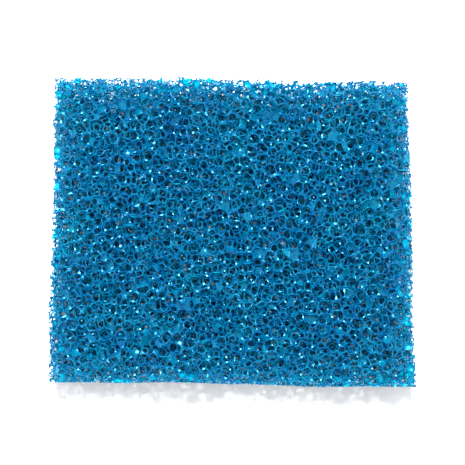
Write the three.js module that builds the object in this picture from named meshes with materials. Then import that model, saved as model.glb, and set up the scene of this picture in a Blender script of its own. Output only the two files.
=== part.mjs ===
// Coarse open-cell filter foam: one sheet, cut from a block by hand, lying flat.
// Millimetres, +Z up. The origin is the middle of the box round the underside; +X runs along the longer side.
import * as THREE from "three";

// Driving dimensions
const SHEET_WIDTH = 140;
const SHEET_DEPTH = 117;
const SHEET_THICKNESS = 20;
const RIGHT_SIDE_LEAN = 4; // how much shorter the back edge is than the front one, all on the right
const CORNER_RADIUS = 1.5; // the knife leaves the upright corners slightly rounded
const CORNER_STEPS = 4;

// Finish of the dyed foam
const FOAM_COLOUR = 0x0b66a0;
const FOAM_ROUGHNESS = 0.45;

// The sheet's outline seen from above. It was cut by hand, so its right side leans in towards the back.
function sheetOutline() {
  const x = SHEET_WIDTH / 2;
  const y = SHEET_DEPTH / 2;
  const corners = [
    new THREE.Vector2(-x, -y),
    new THREE.Vector2(x, -y),
    new THREE.Vector2(x - RIGHT_SIDE_LEAN, y),
    new THREE.Vector2(-x, y),
  ];
  const outline = new THREE.Shape();
  corners.forEach((corner, k) => {
    const before = corners[(k + 3) % 4].clone().sub(corner).setLength(CORNER_RADIUS).add(corner);
    const after = corners[(k + 1) % 4].clone().sub(corner).setLength(CORNER_RADIUS).add(corner);
    if (k === 0) outline.moveTo(before.x, before.y);
    else outline.lineTo(before.x, before.y);
    outline.quadraticCurveTo(corner.x, corner.y, after.x, after.y);
  });
  outline.closePath();
  return outline;
}

// The whole sheet as one closed solid, with its underside at z = 0.
function foamPad() {
  const geometry = new THREE.ExtrudeGeometry(sheetOutline(), {
    depth: SHEET_THICKNESS,
    bevelEnabled: false,
    curveSegments: CORNER_STEPS,
  });
  const material = new THREE.MeshStandardMaterial({
    color: FOAM_COLOUR,
    roughness: FOAM_ROUGHNESS,
    metalness: 0,
  });
  const pad = new THREE.Mesh(geometry, material);
  pad.name = "foam_pad";
  return pad;
}

const filterSheet = new THREE.Group();
filterSheet.add(foamPad());

export default filterSheet;
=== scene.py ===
"""A sheet of coarse open-cell filter foam, modelled strut by strut, on a plain white table.

The foam is a network of struts round some thousands of polyhedral cells. The cells are the Voronoi
cells of a jittered lattice, so every strut lies where three cells meet and every node where four do.
The network is cut flat on six planes, as a sheet is cut from a block, and its sides are then bent a
little, because a sheet that is cut by hand is never quite true.
"""

import itertools
import math

import bmesh
import bpy
import numpy as np
from bpy.props import FloatProperty, FloatVectorProperty, IntProperty, PointerProperty
from mathutils import Euler, Matrix, Vector


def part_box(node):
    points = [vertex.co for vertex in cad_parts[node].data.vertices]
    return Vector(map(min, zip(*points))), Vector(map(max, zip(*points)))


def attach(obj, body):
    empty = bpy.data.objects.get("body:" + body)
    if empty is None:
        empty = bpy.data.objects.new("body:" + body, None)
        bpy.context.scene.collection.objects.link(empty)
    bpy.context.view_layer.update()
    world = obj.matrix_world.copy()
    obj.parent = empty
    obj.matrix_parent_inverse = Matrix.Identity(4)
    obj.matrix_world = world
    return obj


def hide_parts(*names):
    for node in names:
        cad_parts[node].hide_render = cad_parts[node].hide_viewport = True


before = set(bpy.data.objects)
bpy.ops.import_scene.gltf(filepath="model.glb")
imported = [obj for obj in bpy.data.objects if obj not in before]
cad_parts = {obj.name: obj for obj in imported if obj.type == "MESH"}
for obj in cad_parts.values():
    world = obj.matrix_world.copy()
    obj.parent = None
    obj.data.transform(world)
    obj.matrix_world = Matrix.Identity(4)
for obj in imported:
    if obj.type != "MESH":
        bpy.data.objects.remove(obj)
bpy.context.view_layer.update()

bl_info = {
    "name": "Filter Foam Sheet",
    "version": (1, 0, 0),
    "blender": (4, 5, 0),
    "location": "3D View > Sidebar > Filter Foam",
    "description": "Makes a sheet of coarse open-cell filter foam and the table it lies on",
    "category": "Add Mesh",
}

SHEET_LOW, SHEET_HIGH = (np.array(corner, float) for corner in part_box("foam_pad"))
MM = 0.001

# The lattice that the cells start from: eight cells in each repeat, at these quarters of it.
# Nearly all the windows between its cells are five-sided, the commonest kind in real foam.
REPEAT_SITES = ((0, 0, 0), (2, 2, 2), (1, 0, 2), (3, 0, 2), (2, 1, 0), (2, 3, 0), (0, 2, 1), (0, 2, 3))
QUARTERS = 4
NEAR_SQUARED = 16  # only cells this near each other, in squared quarters, are tried as neighbours
WIDE_SQUARED = 24  # only cells this near are asked whether they are nearer to a node than its own are
WIDEST_GAP = 1.05  # nodes further than this from their cells' centres are left out, in cell sizes
LATTICE_TURN = (0.40, 0.54, 0.30)  # the lattice is askew to the sheet, so no rows line up with its edges
NETWORK_REACH = 1.6  # how far past the sheet the network goes, in cell sizes
CELL_REACH = 2.2  # how far past the network its cells go, in cell sizes
NODES_AT_ONCE = 20000  # nodes tried together, which keeps the tables small
FAR_OFF = 1e3  # a place further away than any cell
TINY = 1e-12  # keeps a divisor from being nothing, and a node's own cells from counting as nearer

NARROWEST_WINDOW = 0.01 * MM  # a window's half width is taken to be at least this
LEAST_OPEN_AT_ENDS = 0.35  # share of a window that its struts leave open at their ends, at least
LEAST_OPEN_IN_MIDDLE = 0.45  # and half way along them
FILM_BULGE = 0.12  # how much the films bulge, as a share of a window's half width

CUT_MARK = "cut"
CUT_TOLERANCE = 0.002 * MM  # a face this near a cutting plane was left by the blade
CUT_SNAP = 1e-7  # a corner this near a cutting plane, in metres, counts as on it
CUT_MARGIN = 3 * MM  # struts with both nodes further outside the sheet than this are left out
SHARP_ANGLE = math.radians(75)

# How a pair of upright sides bends: millimetres to the radian along the side, for a slow wave and for
# a ripple, then up the side for the ripple, and the angle at which each starts.
SLOW_SHARE, RIPPLE_SHARE = 0.7, 0.3
LEFT_AND_RIGHT_WAVES = (13, 5.1), 9, (0.8, 2.0)
FRONT_AND_BACK_WAVES = (15, 5.7), -8, (2.6, 1.1)

TABLE_GAP = 0.1 * MM  # keeps the table clear of the sheet's underside
SENSOR_WIDTH = 36  # in millimetres, as the lens is
SOFTBOX_SIZE = (0.30, 0.20)
SOFTBOX_PLACE = (-0.05, 0.60, 1.10)  # above the sheet and behind it, in metres

# The Mix node's sockets, which go by number because their names repeat.
MIX_FACTOR, VALUE_A, VALUE_B, COLOUR_A, COLOUR_B = 0, 2, 3, 6, 7
VALUE_OUT, COLOUR_OUT = 0, 2

CELL_PAIRS = tuple(itertools.combinations(range(4), 2))  # a node's six windows
CELL_TRIPLES = tuple(itertools.combinations(range(4), 3))  # a node's four struts


# ------------------------------------------------------------------ settings

class FoamSettings(bpy.types.PropertyGroup):
    """The foam's cells, struts and finish."""

    cell_size: FloatProperty(
        name="Cell Size", description="Cube root of the mean volume of a cell",
        default=3.9 * MM, min=1 * MM, max=12 * MM, subtype="DISTANCE", unit="LENGTH")
    unevenness: FloatProperty(
        name="Unevenness", description="How far cells stray from the lattice, as a share of the cell size",
        default=0.24, min=0, max=0.5, subtype="FACTOR")
    strut_middle: FloatProperty(
        name="Strut at Its Middle", description="Reach of a strut into a window, half way along it",
        default=0.23 * MM, min=0.05 * MM, max=1 * MM, subtype="DISTANCE", unit="LENGTH")
    strut_end: FloatProperty(
        name="Strut at Its Ends", description="Reach of a strut into a window, where it meets others",
        default=0.40 * MM, min=0.05 * MM, max=1 * MM, subtype="DISTANCE", unit="LENGTH")
    closed_share: FloatProperty(
        name="Closed Windows", description="Share of the windows that still hold their film",
        default=0.07, min=0, max=1, subtype="FACTOR")
    film: FloatProperty(
        name="Film", description="Thickness of the film in a closed window",
        default=0.04 * MM, min=0.005 * MM, max=0.2 * MM, subtype="DISTANCE", unit="LENGTH")
    waviness: FloatProperty(
        name="Waviness", description="How far the cut edges stray from straight",
        default=0.45 * MM, min=0, max=3 * MM, subtype="DISTANCE", unit="LENGTH")
    side_lean: FloatProperty(
        name="Lean of the Right Side", description="How much shorter the back edge is than the front one",
        default=4 * MM, min=0, max=20 * MM, subtype="DISTANCE", unit="LENGTH")
    seed: IntProperty(name="Seed", description="Chooses one foam among many", default=7, min=0)
    deep_colour: FloatVectorProperty(
        name="Deep Blue", description="Dyed foam where it is thick", subtype="COLOR",
        default=(0.0, 0.060, 0.21), min=0, max=1, size=3)
    pale_colour: FloatVectorProperty(
        name="Light Blue", description="Dyed foam where it is thin", subtype="COLOR",
        default=(0.0, 0.145, 0.25), min=0, max=1, size=3)
    # The cut ends' colour is painted shade: it is darker than the dye so that the flat cut tops, which face
    # the softbox, look dark. Their matt finish is real.
    cut_colour_painted_shade: FloatVectorProperty(
        name="Cut Ends", description="The matt ends that the blade left", subtype="COLOR",
        default=(0.0, 0.035, 0.13), min=0, max=1, size=3)
    shine_colour: FloatVectorProperty(
        name="Shine", description="Tint of the shine on the struts", subtype="COLOR",
        default=(0.12, 0.55, 0.76), min=0, max=1, size=3)


class StudioSettings(bpy.types.PropertyGroup):
    """The table, lights and camera."""

    camera_height: FloatProperty(
        name="Camera Elevation", description="Angle of the view above the table",
        default=math.radians(86.0), subtype="ANGLE", unit="ROTATION")
    camera_side: FloatProperty(
        name="Camera Side", description="How far round the camera stands, from straight in front",
        default=math.radians(-15.0), subtype="ANGLE", unit="ROTATION")
    camera_roll: FloatProperty(
        name="Camera Roll", description="Turn of the camera about its own line of sight",
        default=math.radians(-14.1), subtype="ANGLE", unit="ROTATION")
    camera_aim: FloatProperty(
        name="Camera Aim", description="How far to the right of the sheet's middle the camera points",
        default=-0.8 * MM, subtype="DISTANCE", unit="LENGTH")
    camera_distance: FloatProperty(
        name="Camera Distance", description="From the lens to the middle of the sheet",
        default=0.712, subtype="DISTANCE", unit="LENGTH")
    lens: FloatProperty(
        name="Lens", description="Focal length for a 36 mm sensor, in millimetres", default=142.4, min=20)
    table_size: FloatProperty(
        name="Table Size", description="Side of the square table top", default=4.0,
        subtype="DISTANCE", unit="LENGTH")
    key_power: FloatProperty(
        name="Key Light", description="Power of the softbox behind the sheet",
        default=36.0, subtype="POWER")
    sky: FloatProperty(name="Fill Light", description="Strength of the even light all round", default=1.12)


# ------------------------------------------------------------------ the cells

def offsets_from(site, limit):
    """The lattice steps from a site to every other site within a squared distance."""
    reach = range(-math.isqrt(limit), math.isqrt(limit) + 1)
    found = []
    for step in itertools.product(reach, repeat=3):
        other = tuple((a + b) % QUARTERS for a, b in zip(site, step))
        if other in REPEAT_SITES and 0 < sum(s * s for s in step) <= limit:
            found.append(step)
    return found


def scatter_cells(settings, low, high, rng):
    """Cell centres over a box. Returns their places, lattice numbers, kinds, and a look-up table."""
    quarter = settings.cell_size * 2 / QUARTERS
    turn = np.array(Euler(LATTICE_TURN).to_matrix())
    corners = np.array(list(itertools.product(*zip(low, high)))) @ turn / quarter
    first = np.floor(corners.min(0)).astype(int)
    last = np.ceil(corners.max(0)).astype(int)
    axes = [np.arange(a, b + 1) for a, b in zip(first, last)]
    numbers = np.stack(np.meshgrid(*axes, indexing="ij"), -1).reshape(-1, 3)
    code = (numbers % QUARTERS) @ [QUARTERS * QUARTERS, QUARTERS, 1]
    kind_of_code = np.full(QUARTERS**3, -1)
    for kind, site in enumerate(REPEAT_SITES):
        kind_of_code[np.dot(site, [QUARTERS * QUARTERS, QUARTERS, 1])] = kind
    kinds = kind_of_code[code]
    numbers, kinds = numbers[kinds >= 0], kinds[kinds >= 0]
    places = numbers * quarter @ turn.T
    places += rng.uniform(-1, 1, places.shape) * settings.unevenness * settings.cell_size
    held = ((places > low) & (places < high)).all(1)
    numbers, kinds, places = numbers[held] - first, kinds[held], places[held]
    rim = math.isqrt(WIDE_SQUARED) + 1
    table = np.full(last - first + 1 + 2 * rim, -1)
    numbers = numbers + rim
    table[tuple(numbers.T)] = np.arange(len(numbers))
    return places, numbers, kinds, table


def centre_of_four(places, four):
    """The point that is equally far from four cell centres, for many fours, and the distance squared."""
    start = places[four[:, 0]]
    a, b, c = (places[four[:, k]] - start for k in (1, 2, 3))
    bc = np.cross(b, c)
    twice = 2 * (a * bc).sum(1)[:, None]
    twice[twice == 0] = np.nan
    to = ((a * a).sum(1)[:, None] * bc + (b * b).sum(1)[:, None] * np.cross(c, a)
          + (c * c).sum(1)[:, None] * np.cross(a, b)) / twice
    return start + to, (to * to).sum(1)


def candidate_nodes(places, numbers, kinds, table, widest):
    """Fours of neighbouring cells whose common point may be a node."""
    fours, centres, squares = [], [], []
    for kind, site in enumerate(REPEAT_SITES):
        own = np.flatnonzero(kinds == kind)
        later = [s for s in offsets_from(site, NEAR_SQUARED) if s > (0, 0, 0)]
        ids = {s: table[tuple((numbers[own] + s).T)] for s in later}
        for three in itertools.combinations(sorted(later), 3):
            if any(sum((p - q) ** 2 for p, q in zip(*two)) > NEAR_SQUARED
                   for two in itertools.combinations(three, 2)):
                continue
            four = np.stack([own] + [ids[s] for s in three], 1)
            four = four[(four >= 0).all(1)]
            centre, square = centre_of_four(places, four)
            good = square < widest**2
            fours.append(four[good])
            centres.append(centre[good])
            squares.append(square[good])
    return np.concatenate(fours), np.concatenate(centres), np.concatenate(squares)


def foam_nodes(settings, low, high, rng):
    """The nodes of the network in a box, and the four cells round each: those with no cell nearer."""
    reach = CELL_REACH * settings.cell_size
    widest = WIDEST_GAP * settings.cell_size
    places, numbers, kinds, table = scatter_cells(settings, low - reach, high + reach, rng)
    fours, centres, squares = candidate_nodes(places, numbers, kinds, table, widest)
    inside = ((centres > low) & (centres < high)).all(1)
    fours, centres, squares = fours[inside], centres[inside], squares[inside]
    sites = [offsets_from(site, WIDE_SQUARED) for site in REPEAT_SITES]
    most = max(len(steps) for steps in sites)
    around = np.full((len(places), most), -1)
    for kind, steps in enumerate(sites):
        own = np.flatnonzero(kinds == kind)
        for column, step in enumerate(steps):
            around[own, column] = table[tuple((numbers[own] + step).T)]
    places_and_none = np.vstack([places, np.full(3, FAR_OFF)])
    kept = np.zeros(len(fours), bool)
    for block in np.array_split(np.arange(len(fours)), 1 + len(fours) // NODES_AT_ONCE):
        gap = places_and_none[around[fours[block, 0]]] - centres[block][:, None]
        kept[block] = ((gap * gap).sum(2) >= squares[block][:, None] - TINY).all(1)
    return places, np.sort(fours[kept], 1), centres[kept]


# ------------------------------------------------------------------ the network

def foam_struts(fours, cell_count):
    """Each strut as its two nodes and, at each of them, which of its four cells the strut leaves out."""
    keys = np.stack([(fours[:, a] * cell_count + fours[:, b]) * cell_count + fours[:, c]
                     for a, b, c in CELL_TRIPLES], 1).ravel()
    order = np.argsort(keys, kind="stable")
    same = np.flatnonzero(keys[order][1:] == keys[order][:-1])
    one, two = order[same], order[same + 1]
    return np.stack([one // 4, two // 4], 1), np.stack([one % 4, two % 4], 1)


def window_slots():
    """For each triple of a node's cells, the slots of its three windows among the node's six."""
    return np.array([[CELL_PAIRS.index(pair) for pair in itertools.combinations(triple, 2)]
                     for triple in CELL_TRIPLES])


def sum_at(index, values, count):
    """Adds up rows of values that share an index."""
    return np.stack([np.bincount(index, column, count) for column in values.T], 1)


class Network:
    """The struts, nodes and windows of the foam, and the surface round them."""

    def __init__(self, settings, low, high, rng):
        self.settings = settings
        self.cells, self.fours, self.nodes = foam_nodes(settings, low, high, rng)
        self.ends, triples = foam_struts(self.fours, len(self.cells))
        pairs = np.stack([self.fours[:, a] * len(self.cells) + self.fours[:, b] for a, b in CELL_PAIRS], 1)
        keys, windows = np.unique(pairs, return_inverse=True)
        self.window_of_slot = windows.reshape(-1, 6)
        self.window_cells = np.stack([keys // len(self.cells), keys % len(self.cells)], 1)
        self.slots = window_slots()[triples]  # strut, end, which of its three windows
        triple_cells = np.array(CELL_TRIPLES)[triples[:, 0]]
        self.strut_cells = np.take_along_axis(self.fours[self.ends[:, 0]], triple_cells, 1)
        self.strut_windows = np.take_along_axis(self.window_of_slot[self.ends[:, 0]], self.slots[:, 0], 1)
        self.measure_windows()

    def measure_windows(self):
        """The middle of each window and its mean half width."""
        count = len(self.window_cells)
        one, two = self.nodes[self.ends[:, 0]], self.nodes[self.ends[:, 1]]
        lengths = np.linalg.norm(two - one, axis=1)
        self.halfway = (one + two) / 2
        flat = self.strut_windows.ravel()
        long = np.repeat(lengths, 3)
        around = np.bincount(flat, long, count) + TINY
        self.middles = sum_at(flat, np.repeat(self.halfway, 3, 0) * long[:, None], count) / around[:, None]
        along = np.repeat((two - one) / lengths[:, None], 3, 0)
        off = np.linalg.norm(np.cross(self.middles[flat] - np.repeat(one, 3, 0), along), axis=1)
        self.half_widths = np.bincount(flat, off * long, count) / around
        normal = self.cells[self.window_cells[:, 1]] - self.cells[self.window_cells[:, 0]]
        self.window_normals = normal / np.linalg.norm(normal, axis=1)[:, None]

    def number_points(self, closed):
        """Points at both ends and the middle of every strut, in each of its windows.

        An open window's points are shared by the two cells beside it. A closed window has a set for
        each cell, a film's thickness apart."""
        s = self.settings
        half_widths = np.maximum(self.half_widths, NARROWEST_WINDOW)
        end_share = np.maximum(1 - s.strut_end / half_widths, LEAST_OPEN_AT_ENDS)
        middle_share = np.maximum(1 - s.strut_middle / half_widths, LEAST_OPEN_IN_MIDDLE)
        points, ids = [], []
        count = 0
        for windows, outer, share in ((self.window_of_slot, self.nodes, end_share),
                                      (self.strut_windows, self.halfway, middle_share)):
            centre = self.middles[windows]
            place = centre + (outer[:, None] - centre) * share[windows][..., None]
            step = self.window_normals[windows] * (s.film / 2 * closed[windows])[..., None]
            both = np.repeat(count + np.arange(windows.size).reshape(windows.shape)[..., None], 2, 2)
            count += windows.size
            twice = closed[windows]
            both[..., 1][twice] = count + np.arange(twice.sum())
            count += int(twice.sum())
            points += [(place - step).reshape(-1, 3), (place + step)[twice]]
            ids.append(both)
        self.points = np.concatenate(points)
        self.end_ids, self.middle_ids = ids

    def strut_sides(self, struts):
        """Two four-cornered faces for each of the three sides of each strut, and the cell each faces."""
        faces, cells = [], []
        for cell, ((one, one_side), (two, two_side)) in enumerate(
                (((0, 0), (1, 0)), ((0, 1), (2, 0)), ((1, 1), (2, 1)))):
            middle = [self.middle_ids[struts, one, one_side], self.middle_ids[struts, two, two_side]]
            for end in (0, 1):
                node = self.ends[struts, end]
                corner = [self.end_ids[node, self.slots[struts, end, one], one_side],
                          self.end_ids[node, self.slots[struts, end, two], two_side]]
                faces.append(np.stack([corner[0], middle[0], middle[1], corner[1]], 1))
                cells.append(self.strut_cells[struts, cell])
        return np.concatenate(faces), np.concatenate(cells)

    def node_corners(self, nodes):
        """One three-cornered face at each node for each of its four cells."""
        faces, cells = [], []
        for cell in range(4):
            corners = [self.end_ids[nodes, slot, int(pair[1] == cell)]
                       for slot, pair in enumerate(CELL_PAIRS) if cell in pair]
            faces.append(np.stack(corners, 1))
            cells.append(self.fours[nodes, cell])
        return np.concatenate(faces), np.concatenate(cells)

    def film_faces(self, closed, rng):
        """A shallow fan of three-cornered faces on each side of every closed window's film."""
        faces, cells, extra = [], [], []
        chosen = closed[self.strut_windows]
        beside = {}
        for strut, which in zip(*np.nonzero(chosen)):
            beside.setdefault(self.strut_windows[strut, which], []).append((strut, which))
        for window, rim in sorted(beside.items()):
            bulge = self.window_normals[window] * rng.normal(0, FILM_BULGE) * self.half_widths[window]
            gap = self.window_normals[window] * self.settings.film / 2
            for side, way in ((0, -1), (1, 1)):
                top = len(self.points) + len(extra)
                extra.append(self.middles[window] + bulge + way * gap)
                for strut, which in rim:
                    middle = self.middle_ids[strut, which, side]
                    for end in (0, 1):
                        corner = self.end_ids[self.ends[strut, end], self.slots[strut, end, which], side]
                        faces.append((corner, middle, top))
                        cells.append(self.window_cells[window, side])
        if extra:
            self.points = np.concatenate([self.points, extra])
        return np.array(faces, int).reshape(-1, 3), np.array(cells, int)

    def turned_out(self, faces, cells):
        """The faces with their corners ordered so that each faces its cell."""
        corner = self.points[faces]
        normal = np.cross(corner[:, 1] - corner[:, 0], corner[:, 2] - corner[:, 0])
        if faces.shape[1] == 4:
            normal += np.cross(corner[:, 2] - corner[:, 0], corner[:, 3] - corner[:, 0])
        wrong = (normal * (self.cells[cells] - corner.mean(1))).sum(1) < 0
        faces[wrong] = faces[wrong][:, ::-1]
        return faces

    def skin(self, low, high, rng):
        """The surface of all struts near a box: its points, its four- and its three-cornered faces.

        It is open only at the loose ends of the outermost struts, outside the box."""
        near = ((self.nodes > low - CUT_MARGIN) & (self.nodes < high + CUT_MARGIN)).all(1)
        struts = np.flatnonzero(near[self.ends].any(1))
        whole = np.bincount(self.ends[struts].ravel(), minlength=len(self.nodes)) == 4
        closed = rng.random(len(self.window_cells)) < self.settings.closed_share
        closed[self.window_of_slot[~whole].ravel()] = False
        self.number_points(closed)
        sides, side_cells = self.strut_sides(struts)
        corners, corner_cells = self.node_corners(np.flatnonzero(whole))
        films, film_cells = self.film_faces(closed, rng)
        fours = self.turned_out(sides, side_cells)
        threes = self.turned_out(np.concatenate([corners, films]),
                                 np.concatenate([corner_cells, film_cells]))
        place = self.points[fours]
        # A cut through a bent four-cornered face may tear it, so those that may be cut are split first.
        beyond = ((place < low) | (place > high)).any((1, 2))
        threes = np.concatenate([threes, fours[beyond][:, :3], fours[beyond][:, [0, 2, 3]]])
        fours = fours[~beyond]
        used, packed = np.unique(np.concatenate([fours.ravel(), threes.ravel()]), return_inverse=True)
        return self.points[used], packed[:fours.size].reshape(-1, 4), packed[fours.size:].reshape(-1, 3)


# ------------------------------------------------------------------ meshes

def mesh_from(name, points, fours, threes):
    """A mesh with these four- and three-cornered faces."""
    mesh = bpy.data.meshes.new(name)
    corners = np.concatenate([fours.ravel(), threes.ravel()])
    starts = np.concatenate([np.arange(len(fours)) * 4, fours.size + np.arange(len(threes)) * 3])
    mesh.vertices.add(len(points))
    mesh.vertices.foreach_set("co", points.ravel())
    mesh.loops.add(len(corners))
    mesh.loops.foreach_set("vertex_index", corners)
    mesh.polygons.add(len(starts))
    mesh.polygons.foreach_set("loop_start", starts)
    mesh.update(calc_edges=True)
    return mesh


def next_rim(edge, vert):
    """The open edge that follows another at a corner, going round the faces there."""
    corner = edge.link_loops[0]
    while True:
        corner = corner.link_loop_next if corner.link_loop_next.vert is vert else corner
        if corner.edge is edge:
            corner = corner.link_loop_prev
        if corner.edge.is_boundary:
            return corner.edge
        edge = corner.edge
        corner = corner.link_loop_radial_next


def rings_of(rims):
    """The closed rings that open edges make, as lists of corners that go round as a cap's corners would."""
    rings = []
    unused = set(rims)
    for edge in rims:
        if edge not in unused:
            continue
        corner = edge.link_loops[0]
        vert = corner.vert
        ring = [corner.link_loop_next.vert]
        while edge in unused:
            unused.discard(edge)
            if vert in ring:
                first = ring.index(vert)
                rings.append(ring[first:])
                del ring[first + 1:]
            else:
                ring.append(vert)
            edge = next_rim(edge, vert)
            vert = edge.other_vert(vert)
    return [ring for ring in rings if len(ring) > 2]


def sides_of(ring):
    """Each pair of neighbours round a closed ring."""
    return zip(ring, ring[1:] + ring[:1])


def flat_area(outline):
    """The area of a flat outline, negative if it goes round clockwise."""
    return sum(a[0] * b[1] - a[1] * b[0] for a, b in sides_of(outline)) / 2


def holds(outline, point):
    """Whether a point is inside a flat outline."""
    inside = False
    for a, b in sides_of(outline):
        if (a[1] > point[1]) != (b[1] > point[1]):
            inside ^= point[0] < a[0] + (b[0] - a[0]) * (point[1] - a[1]) / (b[1] - a[1])
    return inside


def cap_cut(bm, rims, axis, way):
    """Closes the cut ends of the struts on one face of the sheet, round any cell that they enclose."""
    one, two = ((axis + 1) % 3, (axis + 2) % 3)[::way]
    rings = rings_of(rims)
    outlines = [[(vert.co[one], vert.co[two]) for vert in ring] for ring in rings]
    areas = np.array([flat_area(outline) for outline in outlines])
    lows = np.array([np.min(outline, axis=0) for outline in outlines])
    highs = np.array([np.max(outline, axis=0) for outline in outlines])
    around = {}
    for hole in np.flatnonzero(areas < 0):
        point = outlines[hole][0]
        wider = (areas > -areas[hole]) & (lows <= point).all(1) & (highs >= point).all(1)
        outer = [k for k in np.flatnonzero(wider) if holds(outlines[k], point)]
        if outer:
            around.setdefault(min(outer, key=areas.__getitem__), []).append(hole)
    pierced = set(around).union(*around.values())
    caps = [bm.faces.new(ring) for k, ring in enumerate(rings) if k not in pierced]
    edges = [bm.edges.get(pair) for k in sorted(pierced) for pair in sides_of(rings[k])]
    bmesh.ops.triangle_fill(bm, edges=edges, use_beauty=True)
    bmesh.ops.triangulate(bm, faces=caps)


def cut_square(mesh, low, high):
    """Cuts a mesh flat on the six faces of a box and closes the cut ends of the struts."""
    bm = bmesh.new()
    bm.from_mesh(mesh)
    loose_ends = [bm.faces.new(ring) for ring in rings_of([e for e in bm.edges if e.is_boundary])]
    bmesh.ops.triangulate(bm, faces=loose_ends)
    bmesh.ops.recalc_face_normals(bm, faces=bm.faces[:])
    for axis in range(3):
        for corner, way in ((low, -1), (high, 1)):
            normal = Vector((0, 0, 0))
            normal[axis] = way
            geometry = bm.verts[:] + bm.edges[:] + bm.faces[:]
            cut = bmesh.ops.bisect_plane(bm, geom=geometry, dist=CUT_SNAP, plane_co=Vector(corner),
                                         plane_no=normal, clear_outer=True)["geom_cut"]
            rims = [e for e in cut if isinstance(e, bmesh.types.BMEdge) and e.is_boundary]
            cap_cut(bm, rims, axis, way)
    bmesh.ops.triangulate(bm, faces=[f for f in bm.faces if len(f.verts) > 4])
    bmesh.ops.recalc_face_normals(bm, faces=bm.faces[:])
    bm.to_mesh(mesh)
    bm.free()


def keep_largest(mesh):
    """Removes every crumb that the cuts parted from the rest of the foam."""
    count = len(mesh.vertices)
    edges = np.empty(len(mesh.edges) * 2, np.int32)
    mesh.edges.foreach_get("vertices", edges)
    one, two = edges.reshape(-1, 2).T
    label = np.arange(count)
    while True:
        lowest = np.minimum(label[one], label[two])
        fresh = label.copy()
        np.minimum.at(fresh, one, lowest)
        np.minimum.at(fresh, two, lowest)
        fresh = fresh[fresh]
        if (fresh == label).all():
            break
        label = fresh
    loose = label != np.bincount(label).argmax()
    bm = bmesh.new()
    bm.from_mesh(mesh)
    bm.verts.ensure_lookup_table()
    bmesh.ops.delete(bm, geom=[bm.verts[i] for i in np.flatnonzero(loose)], context="VERTS")
    bm.to_mesh(mesh)
    bm.free()


def mark_cuts(mesh, low, high):
    """Gives the faces that the blade left the value 1 in the attribute that the foam's material reads,
    which makes them matt and paints shade on them.
    """
    middle = np.empty(len(mesh.polygons) * 3, np.float32)
    mesh.polygons.foreach_get("center", middle)
    middle = middle.reshape(-1, 3)
    cut = (np.minimum(np.abs(middle - low), np.abs(middle - high)) < CUT_TOLERANCE).any(1)
    mark = mesh.attributes.new(CUT_MARK, "FLOAT", "FACE")
    mark.data.foreach_set("value", cut.astype(np.float32))


def side_wave(along, up, lengths, rise, starts):
    """How far a pair of sides bends at places along them and up them, as a share of the waviness."""
    slow = SLOW_SHARE * np.sin(along / lengths[0] + starts[0])
    ripple = RIPPLE_SHARE * np.sin(along / lengths[1] + up / rise + starts[1])
    return slow + ripple


def bend_sides(mesh, settings):
    """Leans the right side in towards the back, and leaves the cut sides a little out of true."""
    place = np.empty(len(mesh.vertices) * 3, np.float32)
    mesh.vertices.foreach_get("co", place)
    place = place.reshape(-1, 3)
    across, along, _ = ((place - SHEET_LOW) / (SHEET_HIGH - SHEET_LOW)).T
    x, y, z = place.T.astype(float) / MM
    place[:, 0] -= settings.side_lean * across * along
    place[:, 0] += settings.waviness * side_wave(y, z, *LEFT_AND_RIGHT_WAVES)
    place[:, 1] += settings.waviness * side_wave(x, z, *FRONT_AND_BACK_WAVES)
    mesh.vertices.foreach_set("co", place.ravel())
    mesh.update()


# ------------------------------------------------------------------ materials

def new_material(name):
    """An empty material, and a short way to add nodes to it with their values and links."""
    material = bpy.data.materials.new(name)
    material.use_nodes = True
    nodes, links = material.node_tree.nodes, material.node_tree.links
    nodes.clear()

    def add(kind, inputs=None, **settings):
        node = nodes.new(kind)
        for key, value in settings.items():
            setattr(node, key, value)
        for key, value in (inputs or {}).items():
            if isinstance(value, bpy.types.NodeSocket):
                links.new(value, node.inputs[key])
            else:
                node.inputs[key].default_value = value
        return node

    return material, add


def mixed_colour(add, factor, one, two):
    """The colour that a factor mixes from two others."""
    return add("ShaderNodeMix", {MIX_FACTOR: factor, COLOUR_A: one, COLOUR_B: two},
               data_type="RGBA").outputs[COLOUR_OUT]


def foam_material(settings):
    """Dyed polyurethane: blue, uneven in tone, with a soft shine, matt where the blade cut it, and darker
    there with painted shade.
    """
    material, add = new_material("dyed_foam")
    place = add("ShaderNodeTexCoord").outputs["Object"]
    clouds = add("ShaderNodeTexNoise", {"Vector": place, "Scale": 90.0, "Detail": 3.0, "Roughness": 0.55})
    fine = add("ShaderNodeTexNoise", {"Vector": place, "Scale": 900.0, "Detail": 2.0})
    mix = add("ShaderNodeMath", {0: clouds.outputs["Fac"], 1: fine.outputs["Fac"]}, operation="ADD")
    shade = add("ShaderNodeMapRange", {"Value": mix.outputs[0], "From Min": 0.7, "From Max": 1.3})
    dye = mixed_colour(add, shade.outputs[0], (*settings.deep_colour, 1), (*settings.pale_colour, 1))
    gloss = add("ShaderNodeMapRange", {"Value": fine.outputs["Fac"], "From Min": 0.3, "From Max": 0.7,
                                       "To Min": 0.15, "To Max": 0.30})
    cut = add("ShaderNodeAttribute", attribute_name=CUT_MARK).outputs["Fac"]
    # Painted shade: the faces that the blade left take the darker cut-end colour. The roughness below makes
    # them matt, which is real.
    colour = mixed_colour(add, cut, dye, (*settings.cut_colour_painted_shade, 1))
    finish = add("ShaderNodeMix", {MIX_FACTOR: cut, VALUE_A: gloss.outputs[0], VALUE_B: 0.9})
    grain = add("ShaderNodeBump", {"Height": fine.outputs["Fac"], "Strength": 0.15, "Distance": 0.1 * MM})
    shader = add("ShaderNodeBsdfPrincipled", {
        "Base Color": colour, "Roughness": finish.outputs[VALUE_OUT], "Normal": grain.outputs[0],
        "Subsurface Weight": 1.0, "Subsurface Radius": (0.15, 0.8, 1.0), "Subsurface Scale": 0.8 * MM,
        "Specular IOR Level": 1.0, "Specular Tint": (*settings.shine_colour, 1)})
    add("ShaderNodeOutputMaterial", {"Surface": shader.outputs[0]})
    return material


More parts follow.
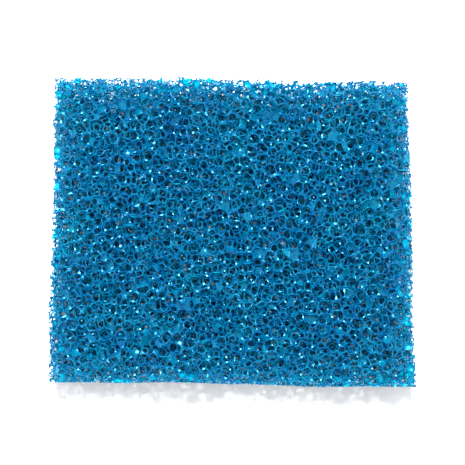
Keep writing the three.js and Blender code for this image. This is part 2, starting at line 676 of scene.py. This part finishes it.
def table_material():
    """A plain white table top with a very faint unevenness."""
    material, add = new_material("white_table")
    place = add("ShaderNodeTexCoord").outputs["Object"]
    mottle = add("ShaderNodeTexNoise", {"Vector": place, "Scale": 30.0})
    white = mixed_colour(add, mottle.outputs["Fac"], (0.93, 0.93, 0.93, 1), (0.95, 0.95, 0.95, 1))
    shader = add("ShaderNodeBsdfPrincipled", {"Base Color": white, "Roughness": 0.7})
    add("ShaderNodeOutputMaterial", {"Surface": shader.outputs[0]})
    return material


def link_object(name, data):
    """A new object for this data, in the scene."""
    made = bpy.data.objects.new(name, data)
    bpy.context.scene.collection.objects.link(made)
    return made


# ------------------------------------------------------------------ operators

class FOAM_OT_make_sheet(bpy.types.Operator):
    """Makes the sheet of open-cell foam"""

    bl_idname = "filter_foam.make_sheet"
    bl_label = "Make Foam Sheet"
    bl_options = {"REGISTER", "UNDO"}

    def execute(self, context):
        settings = context.scene.filter_foam
        rng = np.random.default_rng(settings.seed)
        reach = NETWORK_REACH * settings.cell_size
        network = Network(settings, SHEET_LOW - reach, SHEET_HIGH + reach, rng)
        mesh = mesh_from("foam_sheet", *network.skin(SHEET_LOW, SHEET_HIGH, rng))
        cut_square(mesh, SHEET_LOW, SHEET_HIGH)
        keep_largest(mesh)
        mark_cuts(mesh, SHEET_LOW, SHEET_HIGH)
        bend_sides(mesh, settings)
        mesh.shade_smooth()
        mesh.set_sharp_from_angle(angle=SHARP_ANGLE)
        mesh.materials.append(foam_material(settings))
        sheet = link_object("foam_sheet", mesh)
        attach(sheet, "root")
        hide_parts("foam_pad")
        return {"FINISHED"}


class FOAM_OT_make_studio(bpy.types.Operator):
    """Makes the white table, the lights and the camera"""

    bl_idname = "filter_foam.make_studio"
    bl_label = "Make Table and Lights"
    bl_options = {"REGISTER", "UNDO"}

    def execute(self, context):
        settings = context.scene.filter_studio
        self.make_table(settings)
        self.make_lights(context.scene, settings)
        self.make_camera(context.scene, settings)
        return {"FINISHED"}

    def make_table(self, settings):
        bm = bmesh.new()
        bmesh.ops.create_grid(bm, x_segments=1, y_segments=1, size=settings.table_size / 2)
        bmesh.ops.translate(bm, vec=(0, 0, SHEET_LOW[2] - TABLE_GAP), verts=bm.verts)
        mesh = bpy.data.meshes.new("table_top")
        bm.to_mesh(mesh)
        bm.free()
        mesh.materials.append(table_material())
        link_object("table_top", mesh)

    def make_lights(self, scene, settings):
        key = bpy.data.lights.new("softbox", "AREA")
        key.shape = "RECTANGLE"
        key.size, key.size_y = SOFTBOX_SIZE
        key.energy = settings.key_power
        lamp = link_object("softbox", key)
        spot = Vector(SOFTBOX_PLACE)
        lamp.matrix_world = Matrix.Translation(spot) @ spot.to_track_quat("Z", "Y").to_matrix().to_4x4()
        world = bpy.data.worlds.new("even_light")
        world.use_nodes = True
        background = world.node_tree.nodes["Background"]
        background.inputs["Color"].default_value = (1, 1, 1, 1)
        background.inputs["Strength"].default_value = settings.sky
        scene.world = world
        scene.view_settings.view_transform = "Standard"

    def make_camera(self, scene, settings):
        lens = bpy.data.cameras.new("camera")
        lens.sensor_width = SENSOR_WIDTH
        lens.lens = settings.lens
        camera = link_object("camera", lens)
        aim = Vector((settings.camera_aim, 0, (SHEET_LOW[2] + SHEET_HIGH[2]) / 2))
        tilt = math.pi / 2 - settings.camera_height
        look = Euler((tilt, 0, -settings.camera_side)).to_matrix()
        place = aim + look @ Vector((0, 0, settings.camera_distance))
        roll = Matrix.Rotation(settings.camera_roll, 3, "Z")
        camera.matrix_world = Matrix.Translation(place) @ (look @ roll).to_4x4()
        scene.camera = camera


class FOAM_PT_panel(bpy.types.Panel):
    """The sidebar panel of the foam sheet"""

    bl_label = "Filter Foam"
    bl_idname = "FOAM_PT_panel"
    bl_space_type = "VIEW_3D"
    bl_region_type = "UI"
    bl_category = "Filter Foam"

    def draw(self, context):
        layout = self.layout
        for group, operator in ((context.scene.filter_foam, FOAM_OT_make_sheet),
                                (context.scene.filter_studio, FOAM_OT_make_studio)):
            box = layout.box()
            for name in group.bl_rna.properties.keys():
                if name not in ("rna_type", "name"):
                    box.prop(group, name)
            box.operator(operator.bl_idname)


CLASSES = (FoamSettings, StudioSettings, FOAM_OT_make_sheet, FOAM_OT_make_studio, FOAM_PT_panel)


def register():
    for cls in CLASSES:
        bpy.utils.register_class(cls)
    bpy.types.Scene.filter_foam = PointerProperty(type=FoamSettings)
    bpy.types.Scene.filter_studio = PointerProperty(type=StudioSettings)


def unregister():
    del bpy.types.Scene.filter_studio
    del bpy.types.Scene.filter_foam
    for cls in reversed(CLASSES):
        bpy.utils.unregister_class(cls)


def main():
    register()
    bpy.ops.filter_foam.make_studio()
    bpy.ops.filter_foam.make_sheet()


if __name__ == "__main__":
    main()
